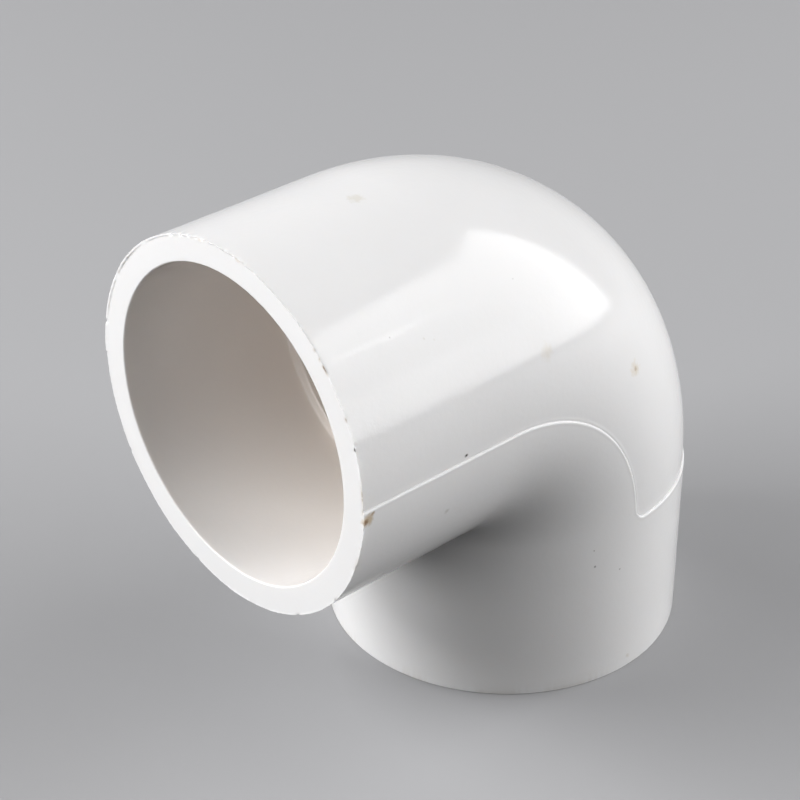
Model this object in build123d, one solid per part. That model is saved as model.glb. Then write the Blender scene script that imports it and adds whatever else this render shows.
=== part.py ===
from build123d import *
import os

# Ninety degree elbow for solvent-welded PVC pressure pipe, 50 mm pipe size.
# The real fitting is one injection moulding and nothing is fitted to it, so
# the model is one solid: two sockets at a right angle, joined by a passage
# that turns the corner.
#
# Frame: +Z up, millimetres. The lower socket's axis is the Z axis and its
# mouth is the plane z = 0, facing -Z. The front socket's axis runs along Y at
# z = HEIGHT, and its mouth is the plane y = -REACH, facing -Y. The plane
# x = 0 cuts the fitting in half. Both arms are nominally 57 mm.

# ---- driving dimensions ----------------------------------------------------
REACH = 57.3               # crossing of the socket axes to the front mouth
HEIGHT = 56.7              # crossing of the socket axes to the lower mouth
OUTER_R = 29.5             # outside of both sockets and of the bend
BEND_R = 27.9              # radius that the centre line turns on
SOCKET_R = 25.1            # socket wall, half way between mouth and pipe stop
SOCKET_DEPTH = 31.0        # mouth to pipe stop
PASSAGE_R = 23.2           # passage between the two pipe stops
DOME_EASE = 0.05           # outer curve of the passage stands this far out
MOUTH_CHAMFER = 0.3        # broken inner edge of each mouth
CROTCH_R = 2.5             # fillet in the inside corner of the bend
MOULD_SHIFT_X = -0.30      # upper mould half, measured against the lower half
MOULD_SHIFT_Y = -0.08

BEND_Z = HEIGHT - BEND_R             # height at which the bend starts
FRONT_ARM = REACH - BEND_R           # straight part of the front arm
OVER = 100.0                         # more than the fitting's size


def bar(radius, z0, z1):
    """Round bar on the lower socket's axis."""
    return Pos(0, 0, z0) * Cylinder(radius, z1 - z0, align=(Align.CENTER, Align.CENTER, Align.MIN))


def to_front(shape):
    """Carry a shape from the lower arm to the same place on the front arm."""
    return Pos(0, -REACH, HEIGHT) * Rot(-90, 0, 0) * shape


def quarter_bend(radius):
    """Quarter turn of a round section about the bend's own axis."""
    disc = Plane.XY.offset(BEND_Z) * Circle(radius)
    keep = Plane.XY.offset(BEND_Z) * Pos(0, OVER / 2 - BEND_R) * Rectangle(OVER, OVER)
    return revolve(disc & keep, Axis((0, -BEND_R, BEND_Z), (1, 0, 0)), 90)


def corner_section(x):
    """Section of the corner fillet at this x, between the front arm's
    underside and the lower arm's front. It bites 0.03 into both walls."""
    h = (OUTER_R ** 2 - x ** 2) ** 0.5
    y = -h - CROTCH_R + 0.03
    z = HEIGHT - h - CROTCH_R + 0.03
    mid = CROTCH_R * 0.5 ** 0.5
    far = CROTCH_R + 1.2
    top = Vector(x, y, z + CROTCH_R)
    side = Vector(x, y + CROTCH_R, z)
    arc = ThreePointArc(top, Vector(x, y + mid, z + mid), side)
    back = Polyline(side, Vector(x, y + far, z), Vector(x, y + far, z + far), Vector(x, y, z + far), top)
    return Face(Wire(arc.edges() + back.edges()))


def socket():
    """Socket with a broken edge at its mouth. The 0.05 mm that a real one
    opens up towards the mouth is left out."""
    edge = Cone(SOCKET_R + 2 * MOUTH_CHAMFER, SOCKET_R - MOUTH_CHAMFER, 3 * MOUTH_CHAMFER)
    return bar(SOCKET_R, 0, SOCKET_DEPTH) + edge


# ---- outside: two arms, the bend and the fillet in the inside corner --------
outside = bar(OUTER_R, 0, BEND_Z) + to_front(bar(OUTER_R, 0, FRONT_ARM)) + quarter_bend(OUTER_R)
reach = (OUTER_R ** 2 - (BEND_R - CROTCH_R) ** 2) ** 0.5 + 1.6
outside = outside + loft([corner_section(reach * k / 6) for k in range(-6, 7)])

# ---- the two mould halves, which meet with a small offset -------------------
# The parting surface runs along the front arm at the height of its axis,
# follows the bend's flank round its centre line, and leaves at the back as a
# level plane. The half above it sits a little across from the half below.
with BuildSketch(Plane.YZ) as above:
    with BuildLine():
        arm = Line((-OVER, HEIGHT), (-BEND_R, HEIGHT))
        flank = RadiusArc(arm @ 1, (0, BEND_Z), BEND_R)
        level = Line(flank @ 1, (OVER, BEND_Z))
        Polyline(level @ 1, (OVER, OVER), (-OVER, OVER), arm @ 0)
    make_face()
upper_zone = extrude(above.sketch, amount=OVER / 2, both=True)
upper_half = Pos(MOULD_SHIFT_X, MOULD_SHIFT_Y, 0) * (outside & upper_zone)
body = (outside - upper_zone) + upper_half
body = body - Pos(0, -REACH - 5, HEIGHT) * Box(OVER, 10, OVER)   # front mouth is flat

# ---- inside: two sockets and the passage ------------------------------------
# Each half of the passage is a straight core, so the two meet in a sharp
# mitre on the inside of the turn and in a round dome on the outside.
dome = quarter_bend(PASSAGE_R + DOME_EASE)
core = bar(PASSAGE_R, BEND_Z - 4, HEIGHT + OUTER_R)
passage = (dome & core) + (dome & to_front(core))
body = body - socket() - to_front(socket()) - passage

elbow_body = body.solids()[0]
assert elbow_body.is_valid and len(body.solids()) == 1

os.makedirs("parts", exist_ok=True)
export_step(elbow_body, "parts/elbow_body.step")
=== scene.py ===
import math

import bpy
import numpy as np
from mathutils import Matrix, Vector, noise


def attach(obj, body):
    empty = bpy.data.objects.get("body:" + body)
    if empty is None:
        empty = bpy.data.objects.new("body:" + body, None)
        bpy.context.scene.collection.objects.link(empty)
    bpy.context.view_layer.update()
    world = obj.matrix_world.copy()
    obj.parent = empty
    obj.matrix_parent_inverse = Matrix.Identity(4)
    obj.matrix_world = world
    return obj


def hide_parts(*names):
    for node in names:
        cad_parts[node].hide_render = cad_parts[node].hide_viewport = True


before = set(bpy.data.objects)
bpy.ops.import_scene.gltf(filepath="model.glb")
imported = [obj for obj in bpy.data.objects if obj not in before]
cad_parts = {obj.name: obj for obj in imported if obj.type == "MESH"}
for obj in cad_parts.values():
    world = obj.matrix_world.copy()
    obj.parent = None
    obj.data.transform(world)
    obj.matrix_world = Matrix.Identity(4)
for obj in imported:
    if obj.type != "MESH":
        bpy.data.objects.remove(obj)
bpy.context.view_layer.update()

# Everything here is worked out in millimetres in the CAD frame, and turned
# into metres when the mesh is made.
MM = 0.001
REACH = 57.3          # socket axes' crossing to the front mouth
HEIGHT = 56.7         # socket axes' crossing to the lower mouth
OUT_R = 29.5          # outside of the arms and the bend
BEND_R = 27.9         # radius the centre line turns on
MOUTH_R = 25.15       # socket at its mouth
ROOT_R = 25.05        # socket at the pipe stop
DEPTH = 31.0          # mouth to pipe stop
PASS_R = 23.2         # passage between the pipe stops
CROTCH_R = 2.5        # inside corner of the bend
SHIFT = np.array([-0.30, -0.08, 0.0])   # upper mould half against the lower
BEND_Z = HEIGHT - BEND_R

# Columns round the section: 0 is +X, a quarter turn is the outside of the bend.
# They close up beside the parting line, at 0 and at half a turn.
near = np.array([0.02, 0.055, 0.10, 0.16, 0.23, 0.32, 0.42, 0.56]) / OUT_R
coarse = np.arange(1, 460) * math.pi / 460
coarse = coarse[(coarse > near[-1] + 0.004) & (coarse < math.pi - near[-1] - 0.004)]
half = np.concatenate([[0.0], near, coarse, math.pi - near[::-1]])
TH = np.concatenate([half, half + math.pi])
NTH = len(TH)
COS, SIN = np.cos(TH), np.sin(TH)
COS[np.abs(COS) < 1e-12] = 0.0
SIN[np.abs(SIN) < 1e-12] = 0.0
UP = NTH // 2         # columns 0..UP are the outside of the turn

rng = np.random.default_rng(50)


def wave(count, low, high, seed):
    """A smooth closed line of numbers round the section, about -1..1, with
    detail between low and high cycles a turn."""
    g = np.random.default_rng(seed)
    k = np.arange(low, high + 1)
    a = g.normal(size=len(k)) / len(k) ** 0.5
    p = g.uniform(0, 2 * math.pi, len(k))
    t = TH
    return (a[:, None] * np.cos(k[:, None] * t[None] + p[:, None])).sum(0)


def bump_at(deg, width):
    """1 at that angle round the section, falling to 0 over the width in degrees."""
    d = (np.degrees(TH) - deg + 180) % 360 - 180
    return np.exp(-((d / width) ** 2))


# ---------------------------------------------------------------- the outside
def turn_radius(h):
    """Radius the surface line turns on, on the inner side of the bend."""
    a, b = BEND_R - h, CROTCH_R
    k = 1.1
    return 0.5 * (a + b + np.sqrt((a - b) ** 2 + k * k)) - 0.5 * k * k / (np.abs(a - b) + 2 * k) * 0.5


def outer_ring(kind, t, radius=OUT_R):
    """One ring of the outside. kind is "low" (t: 0 at the mouth to 1 at the
    bend), "bend" (t: 0 to 1) or "arm" (t: 0 at the bend to 1 at the mouth)."""
    x = radius * COS
    h = radius * np.abs(SIN)
    out = SIN >= 0
    turn = np.where(out, BEND_R, turn_radius(h))
    side = np.where(out, h, -h)
    z_end = np.where(out, BEND_Z, HEIGHT - h - turn)
    y_end = np.where(out, -BEND_R, -h - turn)
    if kind == "low":
        return np.stack([x, side, z_end * t], 1)
    if kind == "arm":
        return np.stack([x, y_end + (-REACH - y_end) * t, HEIGHT + side], 1)
    a = t * math.pi / 2
    r = np.where(out, BEND_R + h, turn)
    cy = np.where(out, -BEND_R, -h - turn)
    cz = np.where(out, BEND_Z, HEIGHT - h - turn)
    return np.stack([x, cy + r * math.cos(a), cz + r * math.sin(a)], 1)


# ---------------------------------------------------------------- the passage
def passage_ring(share):
    """One ring of the passage wall, from the lower stop (0) to the front stop
    (1): two straight cores that meet in a mitre, inside a rounded dome."""
    psi = share * math.pi / 2
    w = math.sin(2 * psi) ** 2
    ay, az = -REACH + DEPTH + 0.3 * w, DEPTH - 0.3 * w
    ey, ez = math.cos(psi), math.sin(psi)
    d0, d1 = REACH - DEPTH, HEIGHT - DEPTH
    d = d0 + (d1 - d0) * share + 1.0 * w
    cy, cz = ay + ey * d, az + ez * d
    dx, dy, dz = COS, SIN * ey, SIN * ez

    def leave(c, v):
        a = dx * dx + v * v
        b = c * v
        q = c * c - PASS_R ** 2
        return (-b + np.sqrt(np.maximum(b * b - a * q, 0))) / np.maximum(a, 1e-9)

    straight = np.maximum(leave(cy, dy), leave(cz - HEIGHT, dz))
    lo, hi = np.zeros(NTH), np.full(NTH, 60.0)
    for _ in range(46):
        m = (lo + hi) / 2
        rho = np.hypot(cy + m * dy + BEND_R, cz + m * dz - BEND_Z)
        inside = (rho - BEND_R) ** 2 + (m * dx) ** 2 < (PASS_R + 0.05) ** 2
        lo, hi = np.where(inside, m, lo), np.where(inside, hi, m)
    r = np.minimum(lo, straight)
    return np.stack([r * dx, cy + r * dy, cz + r * dz], 1)


def flat_ring(which, radius, depth, lift=0.0):
    """A ring of that radius, that deep in the lower or front socket."""
    r = np.broadcast_to(radius, (NTH,))
    if which == "low":
        return np.stack([r * COS, r * SIN, np.broadcast_to(depth, (NTH,))], 1)
    return np.stack([r * COS, -REACH + np.broadcast_to(depth, (NTH,)), HEIGHT + lift + r * SIN], 1)


# ------------------------------------------------- burrs and nicks on the rims
# The core's flange leaves a thin torn edge round the outside of each mouth.
def torn_edge(seed):
    fine = wave(NTH, 40, 190, seed)
    rough = wave(NTH, 6, 30, seed + 1)
    edge = 0.045 * np.clip(0.6 * fine + 0.9 * rough, -0.4, 2.0)
    return edge


front_out = torn_edge(11)
# the lip stands up most over the crown of the mouth, and lies in short lengths
lip_where = 0.35 + 0.9 * bump_at(85, 38) + 0.5 * bump_at(140, 22) + 0.35 * bump_at(25, 20) + 0.35 * bump_at(250, 60)
front_lip = 0.085 * lip_where * np.clip(0.9 + 0.55 * wave(NTH, 30, 170, 14) + 0.6 * wave(NTH, 5, 24, 15), 0.0, 2.4)
for deg, width, depth in (
    (108.3, 0.7, 0.34), (104.5, 0.5, 0.22), (98.5, 1.3, 0.24), (101, 0.5, 0.2), (113, 0.9, 0.16),   # chips at the top left
    (88, 0.8, 0.26), (85, 0.5, 0.34), (82.5, 0.9, 0.30), (80, 0.5, 0.22), (76, 0.7, 0.16),         # chips by the crown
    (51.5, 0.9, 0.08), (49.2, 0.6, 0.12), (47.2, 0.8, 0.12), (45.0, 0.7, 0.10), (43.0, 0.8, 0.14), (41.0, 0.6, 0.16),
    (27.6, 1.3, 0.16), (29.6, 0.5, 0.10), (24.6, 0.5, 0.08), (9.5, 0.9, 0.08), (4.5, 0.8, 0.12), (0.6, 0.5, 0.14),
    (169, 0.6, 0.34), (300, 0.9, 0.14), (252, 0.8, 0.12), (340, 0.8, 0.14), (322, 0.6, 0.16), (212, 0.7, 0.12),
):
    front_out = front_out - depth * bump_at(deg, width)
    front_lip = front_lip - 0.8 * depth * bump_at(deg, width * 1.3)
low_out = 0.3 * torn_edge(31)
low_axial = np.zeros(NTH)      # the lower mouth rests flat on the floor

inner_wob = 0.022 * wave(NTH, 3, 9, 21) + 0.006 * wave(NTH, 30, 90, 22)


def shrink(ring, which, amount, axial):
    """Pull a ring towards its arm's axis, and along it out of the mouth."""
    ring = ring.copy()
    if which == "front":
        ring[:, 0] -= amount * COS
        ring[:, 2] -= amount * SIN
        ring[:, 1] -= axial
    else:
        ring[:, 0] -= amount * COS
        ring[:, 1] -= amount * SIN
        ring[:, 2] -= axial
    return ring


# ---------------------------------------------------------------- all rings
rings = []            # (points, upper half exists here, how much of its shift)
rings.append((shrink(outer_ring("low", 0.0), "low", 0.12 - low_out, 0.0), False))
for t in (0.10, 0.30, 0.8, 1.6, 2.6, 3.8):
    e = math.exp(-t / 0.25)
    rings.append((shrink(outer_ring("low", t / BEND_Z), "low", -low_out * e, 0.0), False))
for t in np.concatenate([np.linspace(5.4, BEND_Z - 1.0, 21), BEND_Z - np.array([0.6, 0.42, 0.32, 0.23, 0.16, 0.10, 0.055, 0.02])]):
    rings.append((outer_ring("low", t / BEND_Z), False))
seam_row = len(rings)
rings.append((outer_ring("low", 1.0), True))
for t in np.concatenate([np.array([0.02, 0.055, 0.10, 0.16, 0.23, 0.32, 0.42, 0.6]) / 43.8, np.linspace(0.024, 0.98, 62), [0.994]]):
    rings.append((outer_ring("bend", t), True))
arm_len = REACH - BEND_R
for t in np.linspace(0.0, arm_len - 3.8, 26):
    rings.append((outer_ring("arm", t / arm_len), True))
for t in (2.6, 1.6, 0.8, 0.45, 0.22, 0.10):
    e = math.exp(-t / 0.22)
    rings.append((shrink(outer_ring("arm", 1 - t / arm_len), "front", -front_out * e, 0.0), True))
rings.append((shrink(outer_ring("arm", 1.0), "front", 0.0 - front_out, front_lip * 0.55), True))
rim_row = len(rings) - 1
# front rim, from its outer edge to its inner edge
for w, a in ((0.05, 1.0), (0.11, 0.85), (0.18, 0.22), (0.30, -0.10), (0.5, -0.02), (0.8, 0.0)):
    rings.append((shrink(outer_ring("arm", 1.0), "front", w - front_out * math.exp(-w / 0.3), front_lip * a), False))
for f in np.linspace(0.3, 0.86, 7):
    rings.append((flat_ring("front", OUT_R + (MOUTH_R + 0.3 - OUT_R) * f, 0.0, 0.2 * f), False))
edge = MOUTH_R + 0.17 + inner_wob
for dr, dp in ((0.10, 0.0), (0.03, 0.002), (0.0, 0.012), (-0.04, 0.05), (-0.09, 0.10), (-0.125, 0.16), (-0.145, 0.25), (-0.152, 0.40)):
    rings.append((flat_ring("front", edge + dr - 0.02, dp, 0.2), False))
rings.append((flat_ring("front", MOUTH_R - 0.002 + inner_wob * 0.35, 0.8, 0.2), False))
for dp in np.concatenate([[1.5, 2.6], np.linspace(4.0, DEPTH - 0.7, 20)]):
    rings.append((flat_ring("front", MOUTH_R + (ROOT_R - MOUTH_R) * dp / DEPTH, dp, 0.2 * (1 - dp / DEPTH)), False))
for dr, dp in ((0.0, -0.36), (-0.03, -0.20), (-0.10, -0.10), (-0.20, -0.03), (-0.36, 0.0), (-0.9, 0.0), (-1.38, 0.0), (-1.52, 0.015), (-1.65, 0.06), (-1.75, 0.13), (-1.82, 0.22), (-1.845, 0.32)):
    rings.append((flat_ring("front", ROOT_R + dr, DEPTH + dp), False))
steps = np.concatenate([[0.012], np.linspace(0.035, 0.46, 15), [0.485, 0.495, 0.5, 0.505, 0.515], np.linspace(0.54, 0.965, 15), [0.988]])
for s in steps[::-1]:
    rings.append((passage_ring(s), False))
for dr, dp in ((-1.83, 0.15), (-1.76, 0.05), (-1.62, 0.0), (-1.3, 0.0), (-0.8, 0.0), (-0.30, 0.0), (-0.14, -0.04), (-0.04, -0.14), (0.0, -0.30)):
    rings.append((flat_ring("low", ROOT_R + dr, DEPTH + dp), False))
for dp in np.concatenate([np.linspace(DEPTH - 0.7, 3.0, 16), [1.8, 1.0]]):
    rings.append((flat_ring("low", MOUTH_R + (ROOT_R - MOUTH_R) * dp / DEPTH, dp), False))
low_edge = MOUTH_R + 0.24 + 0.04 * wave(NTH, 3, 14, 41)
for dr, dp in ((-0.245, 0.42), (-0.22, 0.26), (-0.17, 0.15), (-0.09, 0.07), (0.0, 0.02), (0.10, 0.0)):
    rings.append((flat_ring("low", low_edge + dr, dp), False))
for f in (0.75, 0.5, 0.25, 0.08):
    rings.append((flat_ring("low", OUT_R + (MOUTH_R + 0.3 - OUT_R) * f, 0.0), False))
NR = len(rings)
outer_rows = rim_row + 1

# ------------------------------------------- slight unevenness of the outside
pts = np.stack([r[0] for r in rings])


def uneven(p):
    """Moulded skin isn't quite true: long shallow swells and faint sink."""
    q = Vector(p)
    return (0.020 * noise.noise(q * 0.045) + 0.008 * noise.noise(q * 0.13 + Vector((9, 3, 5)))
            + 0.0022 * noise.noise(q * 0.45 + Vector((2, 7, 1))))


for i in range(1, rim_row):
    p = pts[i]
    if i < seam_row:
        cen = np.stack([np.zeros(NTH), np.zeros(NTH), p[:, 2]], 1)
    elif p[0, 1] <= -BEND_R + 1e-6 and i > seam_row + 3:
        cen = np.stack([np.zeros(NTH), p[:, 1], np.full(NTH, HEIGHT)], 1)
    else:
        ang = math.atan2(p[0, 2] - BEND_Z, p[0, 1] + BEND_R)
        cen = np.tile([0.0, -BEND_R + BEND_R * math.cos(ang), BEND_Z + BEND_R * math.sin(ang)], (NTH, 1))
    n = p - cen
    n /= np.maximum(np.linalg.norm(n, axis=1), 1e-6)[:, None]
    mouth = min(1.0, i / 6.0, (rim_row - i) / 5.0)
    amount = np.array([uneven(v) for v in p]) - 0.02
    # the inner corner keeps its plain shape
    inner = np.clip(1 - np.clip(-SIN - 0.75, 0, 1) * 6, 0, 1)
    pts[i] = p + n * (amount * mouth * inner)[:, None]

# The proud side of the parting line is rounded over, and keeps a thin ledge.
def rounded(d, proud):
    """Height of the skin, d millimetres from the line on the proud side."""
    w = 0.31
    f = 1 - np.minimum(d / w, 1.0)
    return -0.80 * proud * (1 - np.sqrt(np.maximum(1 - f * f, 0))) + 0.026 * np.exp(-(((d - 0.36) / 0.14) ** 2))


def outward(i):
    """Outward normals of the plain tube at ring i."""
    if i <= seam_row:
        return np.stack([COS, SIN, np.zeros(NTH)], 1)
    if pts[i][0, 1] <= -BEND_R + 1e-6:
        return np.stack([COS, np.zeros(NTH), SIN], 1)
    a = math.atan2(pts[i][0, 2] - BEND_Z, pts[i][0, 1] + BEND_R)
    return np.stack([COS, SIN * math.cos(a), SIN * math.sin(a)], 1)


normals = {i: outward(i) for i in range(rim_row + 1)}
arc = TH * OUT_R
d_flank = np.minimum(np.minimum(arc, 2 * math.pi * OUT_R - arc), np.abs(arc - math.pi * OUT_R))
along = np.concatenate([[0], np.cumsum(np.linalg.norm(np.diff(pts[:, 0], axis=0), axis=1))])
d_ring = np.abs(along - along[seam_row])
flash = np.clip(1.0 + 0.10 * wave(NTH, 8, 60, 51), 0.75, 1.2)
lower_bead = np.zeros((NR, NTH))
upper_bead = np.zeros((NR, NTH))
run = np.random.default_rng(8).normal(size=NR)
run = 1.0 + 0.10 * np.convolve(np.concatenate([run, run[:6]]), np.ones(7) / 7 ** 0.5, "valid")[:NR]
outer_side = (TH >= 0) & (TH <= math.pi + 1e-9)
for i in range(2, rim_row + 1):
    stand = -(normals[i] @ SHIFT)                     # how far the lower half stands out from the upper
    low = np.clip(stand, 0.02, 1.0)
    up = np.clip(-stand, 0.02, 1.0)
    if i < seam_row:
        d = np.where(outer_side, d_ring[i], np.hypot(d_ring[i], d_flank))
        lower_bead[i] = rounded(d, low * flash)
    elif i == seam_row:
        lower_bead[i] = rounded(np.where(outer_side, 0.0, d_flank), low * flash)
    else:
        lower_bead[i] = np.where(outer_side & (d_flank > 0), 0.0, rounded(d_flank, low * run[i]))
    if i >= seam_row:
        upper_bead[i] = np.where(outer_side, rounded(np.minimum(d_flank, d_ring[i]), up * run[i]), 0.0)

# The line turns the corner between the flank and the back on a small radius.
TURN = 2.2


def round_corner(grid):
    """Slide the skin near each corner so that the line rounds it."""
    out = grid.copy()
    rows = np.arange(max(seam_row - 30, 2), seam_row + 14)
    up_run = along - along[seam_row]                  # along the flank, up the bend
    for side in (0, 1):
        around = arc if side == 0 else math.pi * OUT_R - arc
        around = np.where(around > math.pi * OUT_R * 0.9, around - 2 * math.pi * OUT_R, around)
        cols = np.where(np.abs(around) < 3.2 * TURN)[0]
        sign = 1.0 if side == 0 else -1.0
        for i in rows:
            u, v = up_run[i], around[cols]
            # nearest place on the two legs of the line
            on_u = (np.abs(v) < abs(u)) if u > 0 else np.zeros(len(cols), bool)
            t = np.where(on_u, -max(u, 0.0), np.maximum(v, 0.0))
            t = np.clip(t, -TURN, TURN)
            phi = (t / TURN + 1) * math.pi / 4
            pu, pv = TURN - TURN * np.sin(phi), TURN - TURN * np.cos(phi)
            du = pu - np.where(t < 0, -t, 0.0)
            dv = pv - np.where(t > 0, t, 0.0)
            off = np.where(on_u, np.abs(v), np.where(v > 0, abs(u), np.hypot(u, v)))
            fall = np.exp(-((off / (1.1 * TURN)) ** 2))
            du, dv = du * fall, dv * fall
            # along the rings: turn about the axis; along the run: slide up the bend or the wall
            n = normals[i][cols]
            round_dir = np.cross(np.array([0.0, 0.0, 1.0]), n) * sign
            round_dir /= np.linalg.norm(round_dir, axis=1)[:, None]
            out[i, cols] += round_dir * dv[:, None] + np.array([0.0, 0.0, 1.0]) * du[:, None]
    return out


plain = round_corner(pts)
for i in range(2, rim_row + 1):
    pts[i] = plain[i] + normals[i] * lower_bead[i][:, None]

# --------------------------------------------------------------- vertices
lower_id = np.arange(NR * NTH).reshape(NR, NTH)
verts = [pts.reshape(-1, 3)]
upper_id = -np.ones((NR, NTH), int)
start = NR * NTH
for i in range(seam_row, rim_row + 1):
    cols = np.arange(0, UP + 1)
    fade = 1.0 if i < rim_row else 1.0
    move = SHIFT.copy()
    gone = max(0.0, min(1.0, (rim_row - i) / 6.0))
    move[1] *= gone
    block = plain[i, cols] + normals[i][cols] * upper_bead[i][cols][:, None] + move
    upper_id[i, cols] = start + np.arange(len(cols))
    start += len(cols)
    verts.append(block)
verts = np.concatenate(verts)

# The upper half's skin is its own: columns 0..UP, rows seam_row..rim_row.
faces, sharp_pairs = [], []
ledge = set()
for i in range(NR):
    k = (i + 1) % NR
    for j in range(NTH):
        m = (j + 1) % NTH
        upper = seam_row <= i and k <= rim_row and i < rim_row and j < UP
        if upper:
            q = (upper_id[i, j], upper_id[i, m], upper_id[k, m], upper_id[k, j])
        elif i == rim_row and j < UP:
            q = (upper_id[i, j], upper_id[i, m], lower_id[k, m], lower_id[k, j])
        else:
            q = (lower_id[i, j], lower_id[i, m], lower_id[k, m], lower_id[k, j])
        faces.append(q)
# ledge under the back of the bend
for j in range(UP):
    faces.append((lower_id[seam_row, j], lower_id[seam_row, j + 1], upper_id[seam_row, j + 1], upper_id[seam_row, j]))
    ledge.add(len(faces) - 1)
# ledges along both flanks
for i in range(seam_row, rim_row):
    faces.append((lower_id[i, 0], upper_id[i, 0], upper_id[i + 1, 0], lower_id[i + 1, 0]))
    ledge.add(len(faces) - 1)
    faces.append((upper_id[i, UP], lower_id[i, UP], lower_id[i + 1, UP], upper_id[i + 1, UP]))
    ledge.add(len(faces) - 1)
k = rim_row + 1
faces.append((lower_id[rim_row, 0], upper_id[rim_row, 0], lower_id[k, 0]))
faces.append((upper_id[rim_row, UP], lower_id[rim_row, UP], lower_id[k, UP]))
ledge.update((len(faces) - 1, len(faces) - 2))

used = sorted({v for f in faces for v in f})
renum = {v: n for n, v in enumerate(used)}
mesh = bpy.data.meshes.new("elbow_moulding")
mesh.from_pydata((verts[used] * MM).tolist(), [], [tuple(renum[v] for v in f) for f in faces])
mesh.validate(verbose=False)
mesh.polygons.foreach_set("use_smooth", [True] * len(mesh.polygons))

# How far inside the fitting a point is (the material paints the bore warmer and a little darker with it: painted shade
# and warm painted bounce light), and how soiled, for the material.
inside = np.zeros((NR, NTH))
for i in range(rim_row + 16, NR - 10):
    nearest = min(pts[i][:, 1].max() + REACH, pts[i][:, 2].max())
    inside[i] = min(1.0, 0.22 + 0.78 * max(0.0, nearest) / 34.0)
deg = np.degrees(TH)
soil_round = np.clip(0.55 + 0.9 * wave(NTH, 10, 60, 61) + 0.8 * wave(NTH, 70, 190, 62), 0, 1.6)
stretch = (0.75 * bump_at(47, 3.6) + 0.7 * bump_at(42.5, 2.0) + 0.5 * bump_at(51.5, 1.6) + 0.5 * bump_at(27.6, 1.1) + 0.16 * bump_at(35, 5)
           + 0.65 * bump_at(6, 4.0) + 0.75 * bump_at(0, 1.5) + 0.9 * bump_at(107, 0.7) + 0.45 * bump_at(99, 1.6)
           + 0.55 * bump_at(84, 3.0) + 0.3 * bump_at(142, 7) + 0.95 * bump_at(169, 0.7) + 0.2 * bump_at(340, 8) + 0.03)
soil = np.zeros((NR, NTH))
for i, w in {rim_row - 2: 0.12, rim_row - 1: 0.4, rim_row: 0.7, rim_row + 1: 0.8, rim_row + 2: 0.9, rim_row + 3: 1.0, rim_row + 4: 0.7, rim_row + 5: 0.15}.items():
    soil[i] = np.clip(w * soil_round * stretch, 0, 1)
for i, w in {0: 0.5, 1: 0.6, 2: 0.45, 3: 0.2, 4: 0.08}.items():
    soil[i] = w * np.clip(0.2 + 0.9 * wave(NTH, 3, 20, 63) + 0.5 * wave(NTH, 60, 190, 64), 0, 1) * 0.55


def per_vertex(grid):
    parts = [grid.reshape(-1)] + [grid[i, :UP + 1] for i in range(seam_row, rim_row + 1)]
    return np.concatenate(parts)[used]


for label, grid in (("inside", inside), ("soil", soil)):
    at = mesh.attributes.new(label, "FLOAT", "POINT")
    at.data.foreach_set("value", per_vertex(grid).astype(np.float32))
body = bpy.data.objects.new("elbow_moulding", mesh)
bpy.context.scene.collection.objects.link(body)

import bmesh
bm = bmesh.new()
bm.from_mesh(mesh)
bm.faces.ensure_lookup_table()
ledge_edges = {e for f in ledge if f < len(bm.faces) for e in bm.faces[f].edges}
for e in ledge_edges:
    e.smooth = False
for e in bm.edges:
    if len(e.link_faces) == 2 and e.calc_face_angle(0) > math.radians(42):
        e.smooth = False
bmesh.ops.recalc_face_normals(bm, faces=bm.faces)
print("open edges", sum(len(e.link_faces) != 2 for e in bm.edges), "faces", len(bm.faces), "volume mm3", bm.calc_volume() * 1e9)
bm.to_mesh(mesh)
bm.free()

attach(body, "root")
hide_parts("elbow_body")

# ---------------------------------------------------------------- materials
mat = bpy.data.materials.new("pvc_white")
mat.use_nodes = True
nt = mat.node_tree
nt.nodes.clear()
N, L = nt.nodes, nt.links
out = N.new("ShaderNodeOutputMaterial")
bsdf = N.new("ShaderNodeBsdfPrincipled")
L.new(bsdf.outputs[0], out.inputs["Surface"])
coord = N.new("ShaderNodeTexCoord")


def tex_noise(scale, detail=3.0, rough=0.5, source=None):
    t = N.new("ShaderNodeTexNoise")
    t.inputs["Scale"].default_value = scale
    t.inputs["Detail"].default_value = detail
    t.inputs["Roughness"].default_value = rough
    L.new(source or coord.outputs["Object"], t.inputs["Vector"])
    return t.outputs["Fac"]


def ramp(value, a, b, low=0.0, high=1.0):
    m = N.new("ShaderNodeMapRange")
    m.inputs["From Min"].default_value = a
    m.inputs["From Max"].default_value = b
    m.inputs["To Min"].default_value = low
    m.inputs["To Max"].default_value = high
    L.new(value, m.inputs["Value"])
    return m.outputs["Result"]


def mix(fac, a, b):
    m = N.new("ShaderNodeMix")
    m.data_type = "RGBA"
    for sock, v in (("Factor", fac), ("A", a), ("B", b)):
        s = next(x for x in m.inputs if x.name == sock and (x.type == "RGBA" if sock != "Factor" else x.type == "VALUE"))
        if hasattr(v, "links"):
            L.new(v, s)
        else:
            s.default_value = v
    return next(x for x in m.outputs if x.type == "RGBA")


def math_node(op, a, b=None):
    m = N.new("ShaderNodeMath")
    m.operation = op
    for n, v in enumerate((a, b)):
        if v is None:
            continue
        if hasattr(v, "links"):
            L.new(v, m.inputs[n])
        else:
            m.inputs[n].default_value = v
    return m.outputs[0]


white = (0.80, 0.795, 0.797, 1)
cloud = tex_noise(38.0, 4.0, 0.55)
base = mix(ramp(cloud, 0.35, 0.7), white, (0.778, 0.772, 0.774, 1))


def attribute(name):
    a = N.new("ShaderNodeAttribute")
    a.attribute_name = name
    return a.outputs["Fac"]


# painted shade and warm painted bounce light: the bore is tinted warmer and a little darker the deeper it goes
base = mix(attribute("inside"), base, (0.825, 0.765, 0.712, 1))

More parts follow.
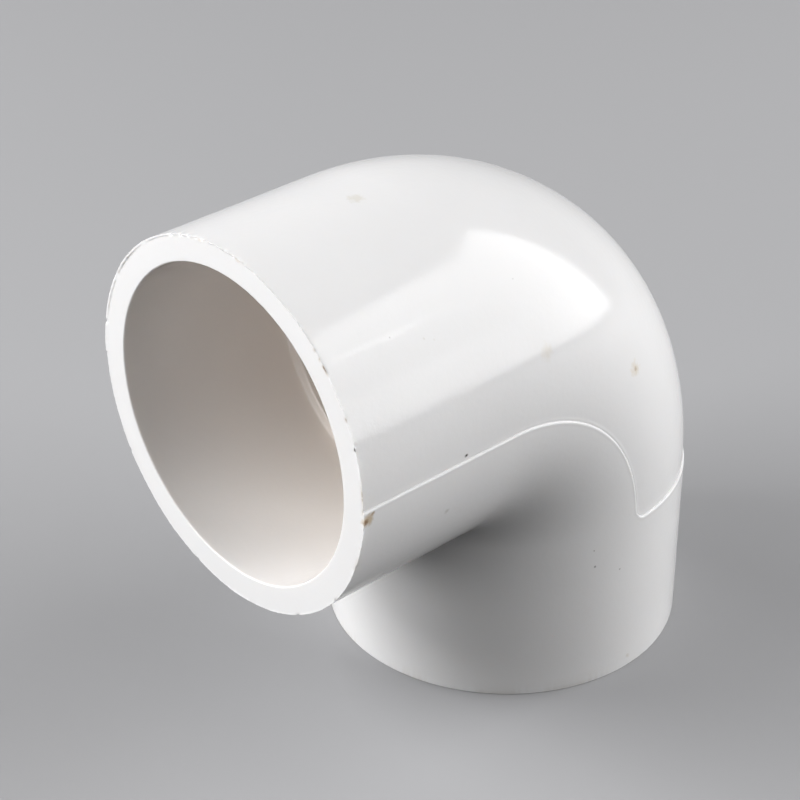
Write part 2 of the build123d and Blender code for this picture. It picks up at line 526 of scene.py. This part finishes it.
# fine dark specks in the moulding, here and there
vor = N.new("ShaderNodeTexVoronoi")
vor.inputs["Scale"].default_value = 210.0
vor.inputs["Randomness"].default_value = 1.0
L.new(coord.outputs["Object"], vor.inputs["Vector"])
size = ramp(tex_noise(95.0, 2.0), 0.58, 0.80, 0.0, 0.045)
speck = math_node("LESS_THAN", vor.outputs["Distance"], size)
base = mix(math_node("MULTIPLY", speck, 0.55), base, (0.25, 0.22, 0.19, 1))

# marks from handling: place in millimetres, radius, colour, strength
MARKS = (
    ((27.4, 0.1, 55.7), 1.45, (0.62, 0.52, 0.36), 0.45),    # brown mark on the bend's flank
    ((27.4, 0.1, 55.7), 0.50, (0.30, 0.17, 0.07), 0.85),
    ((29.5, -56.5, 55.3), 1.15, (0.52, 0.40, 0.25), 0.80),  # where the parting line meets the mouth
    ((29.5, -56.9, 55.0), 0.50, (0.24, 0.14, 0.07), 0.85),
    ((29.5, -55.6, 56.0), 0.40, (0.40, 0.28, 0.16), 0.70),
    ((29.22, -37.6, 57.45), 0.34, (0.05, 0.04, 0.035), 1.0),  # dark grain by the parting line
    ((21.2, -21.0, 76.7), 0.24, (0.16, 0.15, 0.14), 0.85),
    ((25.9, -45.1, 70.7), 0.22, (0.20, 0.18, 0.17), 0.80),
    ((21.7, -45.3, 76.6), 0.20, (0.18, 0.17, 0.16), 0.80),
    ((23.1, -48.5, 75.0), 0.18, (0.28, 0.26, 0.24), 0.70),
    ((25.6, -36.8, 71.4), 0.20, (0.25, 0.24, 0.23), 0.70),
    ((23.5, -38.6, 74.5), 0.32, (0.55, 0.51, 0.42), 0.50),  # faint tan rub
    ((23.1, -40.1, 75.0), 0.28, (0.50, 0.47, 0.38), 0.50),
    ((23.9, -36.9, 74.0), 0.26, (0.58, 0.54, 0.46), 0.45),
    ((1.1, -33.4, 86.2), 1.30, (0.60, 0.56, 0.46), 0.40),
    ((27.5, -19.8, 66.6), 1.50, (0.68, 0.62, 0.52), 0.35),
    ((29.3, -22.7, 59.6), 0.18, (0.25, 0.23, 0.22), 0.75),
    ((29.0, -25.2, 62.1), 0.16, (0.30, 0.28, 0.27), 0.70),
    ((28.8, -21.5, 62.5), 0.15, (0.30, 0.28, 0.27), 0.70),
    ((28.8, 0.8, 47.3), 0.22, (0.35, 0.33, 0.32), 0.60),
    ((28.4, 7.6, 33.7), 0.20, (0.25, 0.23, 0.22), 0.70),
    ((28.4, -8.0, 23.1), 0.22, (0.20, 0.19, 0.18), 0.75),
    ((28.3, -8.3, 26.3), 0.16, (0.30, 0.28, 0.27), 0.65),
    ((29.3, -3.1, 20.8), 0.18, (0.25, 0.24, 0.22), 0.70),
    ((28.4, -40.5, 48.9), 0.55, (0.45, 0.43, 0.38), 0.45),
    ((29.5, 0.0, 2.0), 0.5, (0.55, 0.50, 0.42), 0.4),
    ((-20.0, -30.0, 78.0), 0.22, (0.2, 0.18, 0.16), 0.75),
    ((-28.0, 5.0, 20.0), 0.9, (0.62, 0.56, 0.46), 0.35),
    ((4.0, 29.2, 18.0), 0.24, (0.2, 0.18, 0.17), 0.75),
)
dist_warp = N.new("ShaderNodeTexNoise")
dist_warp.inputs["Scale"].default_value = 1400.0
dist_warp.inputs["Detail"].default_value = 3.0
L.new(coord.outputs["Object"], dist_warp.inputs["Vector"])


def mark(place, radius, colour, strength, base):
    sub = N.new("ShaderNodeVectorMath")
    sub.operation = "DISTANCE"
    L.new(coord.outputs["Object"], sub.inputs[0])
    sub.inputs[1].default_value = tuple(c * MM for c in place)
    d = math_node("ADD", sub.outputs["Value"], math_node("MULTIPLY", math_node("SUBTRACT", dist_warp.outputs["Fac"], 0.5), radius * MM * 1.5))
    return mix(ramp(d, radius * MM * 1.1, radius * MM * 0.35, 0.0, strength), base, (*colour, 1))


for place, radius, colour, strength in MARKS:
    base = mark(place, radius, colour, strength, base)
base = mix(math_node("MULTIPLY", attribute("soil"), 0.75), base, (0.46, 0.385, 0.30, 1))
base = mix(ramp(attribute("soil"), 0.72, 1.0, 0.0, 0.8), base, (0.17, 0.11, 0.075, 1))
L.new(base, bsdf.inputs["Base Color"])
rough = ramp(tex_noise(60.0, 5.0, 0.6), 0.3, 0.75, 0.10, 0.17)
L.new(rough, bsdf.inputs["Roughness"])
bsdf.inputs["IOR"].default_value = 1.53
bsdf.inputs["Specular IOR Level"].default_value = 0.28
bsdf.inputs["Subsurface Weight"].default_value = 0.12
bsdf.inputs["Subsurface Radius"].default_value = (0.0022, 0.0019, 0.0016)
bsdf.inputs["Subsurface Scale"].default_value = 1.0
bmp = N.new("ShaderNodeBump")
bmp.inputs["Strength"].default_value = 0.10
bmp.inputs["Distance"].default_value = 0.0002
L.new(tex_noise(900.0, 3.0, 0.6), bmp.inputs["Height"])
L.new(bmp.outputs["Normal"], bsdf.inputs["Normal"])
mesh.materials.append(mat)

# ---------------------------------------------------------------- camera
AZ, EL, ROLL = (math.radians(v) for v in (47.49709, 31.82590, 0.14829))
FOCAL, DIST = 2285.5, 363.71
U0, V0 = 509.7008, 297.9647
back = Vector((math.sin(AZ) * math.cos(EL), -math.cos(AZ) * math.cos(EL), math.sin(EL)))
right = Vector((math.cos(AZ), math.sin(AZ), 0))
upv = back.cross(right)
r2 = math.cos(ROLL) * right + math.sin(ROLL) * upv
u2 = -math.sin(ROLL) * right + math.cos(ROLL) * upv
aim = Vector((0, 0, HEIGHT))
place = aim - r2 * ((U0 - 400) / FOCAL * DIST) + u2 * ((V0 - 400) / FOCAL * DIST) + back * DIST
cam_data = bpy.data.cameras.new("camera")
cam = bpy.data.objects.new("camera", cam_data)
m = Matrix((
    (r2.x, u2.x, back.x, place.x * MM),
    (r2.y, u2.y, back.y, place.y * MM),
    (r2.z, u2.z, back.z, place.z * MM),
    (0, 0, 0, 1)))
cam.matrix_world = m
cam_data.sensor_width = 36.0
cam_data.sensor_fit = "HORIZONTAL"
cam_data.lens = FOCAL / 800 * 36
cam_data.clip_start = 0.01
cam_data.clip_end = 20
bpy.context.scene.collection.objects.link(cam)
bpy.context.scene.camera = cam

# ---------------------------------------------------------------- floor
def sweep_floor():
    """A pale sheet that curves up at the back."""
    bmf = bmesh.new()
    w, depth = 1.6, 1.3
    prof = [(-depth, 0.0), (0.55, 0.0)]
    for k in range(1, 17):
        a = k / 16 * math.pi / 2
        prof.append((0.55 + 0.35 * math.sin(a), 0.35 - 0.35 * math.cos(a)))
    prof.append((0.90, 1.5))
    rows = []
    for x in np.linspace(-w, w, 9):
        rows.append([bmf.verts.new((x, y, z)) for y, z in prof])
    for a, b in zip(rows, rows[1:]):
        for n in range(len(prof) - 1):
            bmf.faces.new((a[n], b[n], b[n + 1], a[n + 1]))
    me = bpy.data.meshes.new("floor")
    bmf.to_mesh(me)
    bmf.free()
    for p in me.polygons:
        p.use_smooth = True
    o = bpy.data.objects.new("floor", me)
    # the back of the sweep lies behind the object as the camera sees it
    o.rotation_euler = (0, 0, AZ)
    bpy.context.scene.collection.objects.link(o)
    return o


floor = sweep_floor()
fm = bpy.data.materials.new("floor")
fm.use_nodes = True
fb = fm.node_tree.nodes["Principled BSDF"]
fb.inputs["Base Color"].default_value = (0.36, 0.36, 0.37, 1)
fb.inputs["Roughness"].default_value = 0.75
floor.data.materials.append(fm)
floor.visible_diffuse = False     # the ground throws no light back on the fitting

# ---------------------------------------------------------------- lights
def softbox(name, az, el, dist, wide, high, power, spin=0.0, target=(0.0, -0.02, 0.045), color=(1, 1, 1), spread=180):
    """An area light seen from the object at that azimuth (0 is -Y, 90 is +X)
    and elevation."""
    a, e = math.radians(az), math.radians(el)
    d = Vector((math.sin(a) * math.cos(e), -math.cos(a) * math.cos(e), math.sin(e)))
    ld = bpy.data.lights.new(name, "AREA")
    ld.shape = "RECTANGLE"
    ld.size, ld.size_y = wide, high
    ld.energy = power
    ld.color = color
    ld.spread = math.radians(spread)
    o = bpy.data.objects.new(name, ld)
    t = Vector(target)
    o.location = t + d * dist
    q = (-d).to_track_quat("-Z", "Y")
    o.rotation_euler = (q.to_matrix() @ Matrix.Rotation(spin, 3, "Z")).to_euler()
    bpy.context.scene.collection.objects.link(o)
    return o


def panel(name, centre, across, up, wide, high, power, color=(1, 1, 1)):
    """An area light whose sides run along across and up, in millimetres. It
    shines along up x across."""
    x, y = Vector(across).normalized(), Vector(up).normalized()
    z = x.cross(y)
    ld = bpy.data.lights.new(name, "AREA")
    ld.shape = "RECTANGLE"
    ld.size, ld.size_y = wide * MM, high * MM
    ld.energy = power
    ld.color = color
    o = bpy.data.objects.new(name, ld)
    c = Vector(centre) * MM
    o.matrix_world = Matrix(((x.x, y.x, z.x, c.x), (x.y, y.y, z.y, c.y), (x.z, y.z, z.z, c.z), (0, 0, 0, 1)))
    bpy.context.scene.collection.objects.link(o)
    return o


ACROSS, UPWARD = (-0.81040, 0.58573, 0.01327), (-0.28311, -0.41133, 0.86640)
panel("key_right", (479, 645, 425.5), ACROSS, UPWARD, 876, 857, 11.4)
softbox("front_left", -28, 38, 1.1, 0.7, 0.5, 10.3)
softbox("left_low", -62, 14, 1.1, 0.8, 0.4, 9.3)
softbox("front_low", 0, 14, 1.1, 0.8, 0.4, 3.5)
softbox("camera_side", 47, 30, 1.3, 0.7, 0.5, 0.6)
softbox("right_back", 115, 12, 1.1, 0.7, 0.35, 1.1)
softbox("lamp", 133.1, 38.4, 0.85, 0.030, 0.012, 0.022)   # a small lamp that shows as one thin streak

world = bpy.data.worlds.new("world")
world.use_nodes = True
world.node_tree.nodes["Background"].inputs["Color"].default_value = (0.9, 0.92, 1.0, 1)
world.node_tree.nodes["Background"].inputs["Strength"].default_value = 0.0
bpy.context.scene.world = world
bpy.context.scene.view_settings.view_transform = "Standard"
bpy.context.scene.view_settings.look = "None"

bpy.context.view_layer.update()
